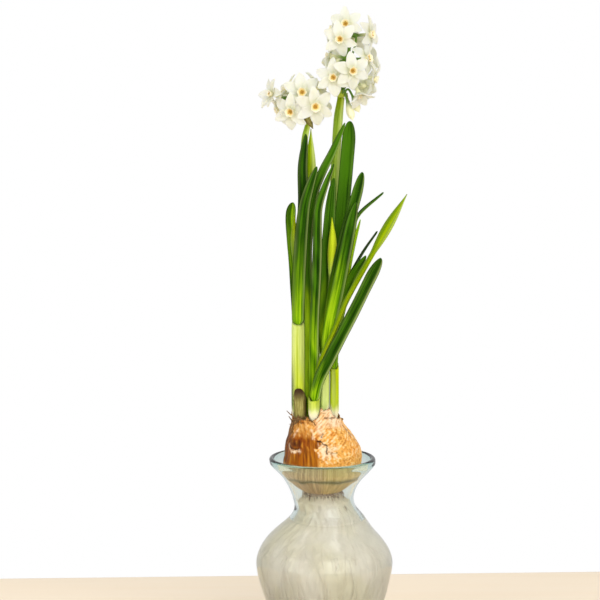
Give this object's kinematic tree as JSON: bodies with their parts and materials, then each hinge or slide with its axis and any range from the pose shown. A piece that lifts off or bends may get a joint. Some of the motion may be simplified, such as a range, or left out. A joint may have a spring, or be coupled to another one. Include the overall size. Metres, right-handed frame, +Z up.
{
  "type": "paperwhite narcissus in a glass forcing vase",
  "caption": "Flowering paperwhite bulb standing in the mouth of a waisted glass forcing vase, its roots in water below and its leaves, buds and flower heads above.",
  "frame": {"origin": "centre of the flat foot of the vase, on the surface it stands on", "axes": "+Z up along the vase's axis and the stalks, +X to the viewer's right, -Y towards the viewer"},
  "size_m": [0.1083, 0.0984, 0.4599],
  "materials": {
    "glass": "clear, faintly green blown glass",
    "water": "clear water",
    "tunic": "dry papery skin",
    "root": "moist",
    "sheath": "smooth membrane",
    "leaf": "smooth, slightly waxy",
    "stalk": "smooth",
    "bud": "smooth",
    "petal": "soft, matt",
    "bract": "dry and papery"
  },
  "bodies": {
    "root": {"bract_left": "bract", "bract_right": "bract", "bud_stalk_left": "bud", "bud_stalk_middle": "bud", "bud_stalk_right": "bud", "bud_stalk_tall": "bud", "bulb": "tunic", "flower_head_left": "petal", "flower_head_right": "petal", "leaf_centre_front": "leaf", "leaf_left_curled": "leaf", "leaf_left_front": "leaf", "leaf_left_tall": "leaf", "leaf_long_arching": "leaf", "leaf_middle_back": "leaf", "leaf_middle_broad": "leaf", "leaf_right_back": "leaf", "leaf_right_broad": "leaf", "leaf_right_low": "leaf", "leaf_right_narrow": "leaf", "leaf_right_pale": "leaf", "leaf_right_upright": "leaf", "leaf_tall_upright": "leaf", "roots": "root", "scape_left": "stalk", "scape_right": "stalk", "sheath_front": "sheath", "sheath_left": "sheath", "sheath_middle": "sheath", "sheath_right": "sheath", "sheath_withered": "bract", "vase": "glass", "water": "water"}
  },
  "joints": []
}
